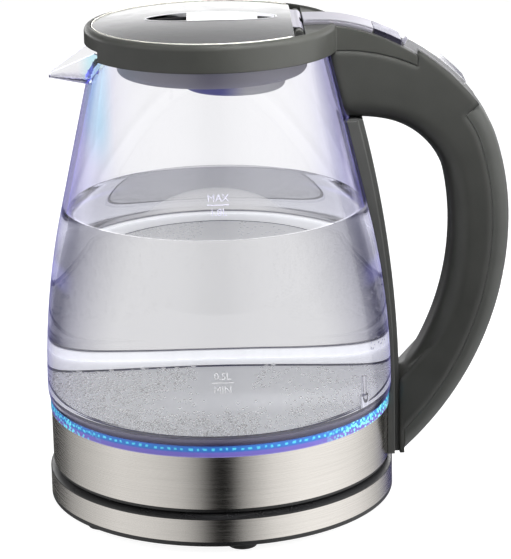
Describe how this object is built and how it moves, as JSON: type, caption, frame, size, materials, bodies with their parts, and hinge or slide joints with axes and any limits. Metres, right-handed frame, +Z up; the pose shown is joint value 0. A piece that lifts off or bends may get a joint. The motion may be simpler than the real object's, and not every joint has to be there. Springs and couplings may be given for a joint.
{
  "type": "electric kettle",
  "caption": "Cordless electric kettle: tapered glass jug with a pulled spout, lit ring and steel skirt, hinged lid with release button, loop handle, round power base.",
  "frame": {"origin": "on the floor, under the axis that the power base and the jug share", "axes": "+Z up, +X from the axis towards the handle (the spout points along -X), +Y towards the cord inlet at the base's rear"},
  "size_m": [0.2171, 0.163, 0.23],
  "materials": {
    "steel": "brushed",
    "chrome": "polished",
    "silver": "satin",
    "dark_plastic": "satin",
    "black_plastic": "semi-gloss",
    "inner_plastic": "matte",
    "glass": "polished",
    "seal": "matte",
    "foot_rubber": "matte",
    "lamp_ring": "translucent",
    "circuit_board": "matte",
    "lamp": "glossy",
    "element": "satin",
    "contact_metal": "satin"
  },
  "bodies": {
    "power_base": {"base_tray": "black_plastic", "base_steel_ring": "steel", "base_bottom": "black_plastic", "base_feet": "foot_rubber", "base_screws": "steel", "cord_inlet": "black_plastic", "base_connector": "black_plastic", "base_contacts": "contact_metal"},
    "coupler": {"coupler_socket": "black_plastic"},
    "jug": {"jug_bottom_cover": "black_plastic", "bottom_screws": "steel", "light_ring": "lamp_ring", "heating_plate": "steel", "glass_seal": "seal", "heat_diffuser": "element", "heating_element": "element", "led_board": "circuit_board", "leds": "lamp", "thermostat": "inner_plastic", "bimetal_discs": "contact_metal", "sensor_probe": "steel", "glass_jug": "glass", "collar": "dark_plastic", "collar_seal": "seal", "handle_top_trim": "silver", "handle_frame": "dark_plastic", "handle_rear_cover": "dark_plastic", "handle_spine": "dark_plastic", "handle_screws": "steel", "steel_skirt": "steel", "hinge_pin": "steel", "lever_pin": "steel", "switch_pin": "steel"},
    "lid": {"lid_top": "silver", "lid_trim_ring": "chrome", "lid_frame": "inner_plastic", "lid_seal": "seal", "steam_baffle": "inner_plastic", "grip_cup": "black_plastic", "grip_bezel": "chrome", "lid_grip": "chrome"},
    "lid_button": {"lid_button": "silver"},
    "release_lever": {"release_lever": "inner_plastic"},
    "power_switch": {"power_switch": "chrome"}
  },
  "joints": [
    {"name": "base_lift", "type": "slide", "parent": "power_base", "child": "coupler", "axis": [0, 0, 1], "range_m": [0, 0.06]},
    {"name": "jug_swivel", "type": "hinge", "parent": "coupler", "child": "jug", "pos_m": [0, 0, 0.0265], "axis": [0, 0, 1], "continuous": true},
    {"name": "lid_hinge", "type": "hinge", "parent": "jug", "child": "lid", "pos_m": [0.039, 0, 0.2252], "axis": [0, 1, 0], "range_deg": [0, 75]},
    {"name": "button_slide", "type": "slide", "parent": "jug", "child": "lid_button", "axis": [0, 0, -1], "range_m": [0, 0.0016], "stiffness_N_per_m": 800, "springref_m": -0.0005},
    {"name": "lever_swing", "type": "hinge", "parent": "jug", "child": "release_lever", "pos_m": [0.062, 0, 0.2186], "axis": [0, 1, 0], "range_deg": [0, 5.1]},
    {"name": "switch_rock", "type": "hinge", "parent": "jug", "child": "power_switch", "pos_m": [0.10056, 0, 0.20672], "axis": [0, 1, 0], "range_deg": [0, 6]}
  ],
  "couplings": [
    {"joint": "lever_swing", "follows": "button_slide", "rad_per_m": 54.9}
  ]
}
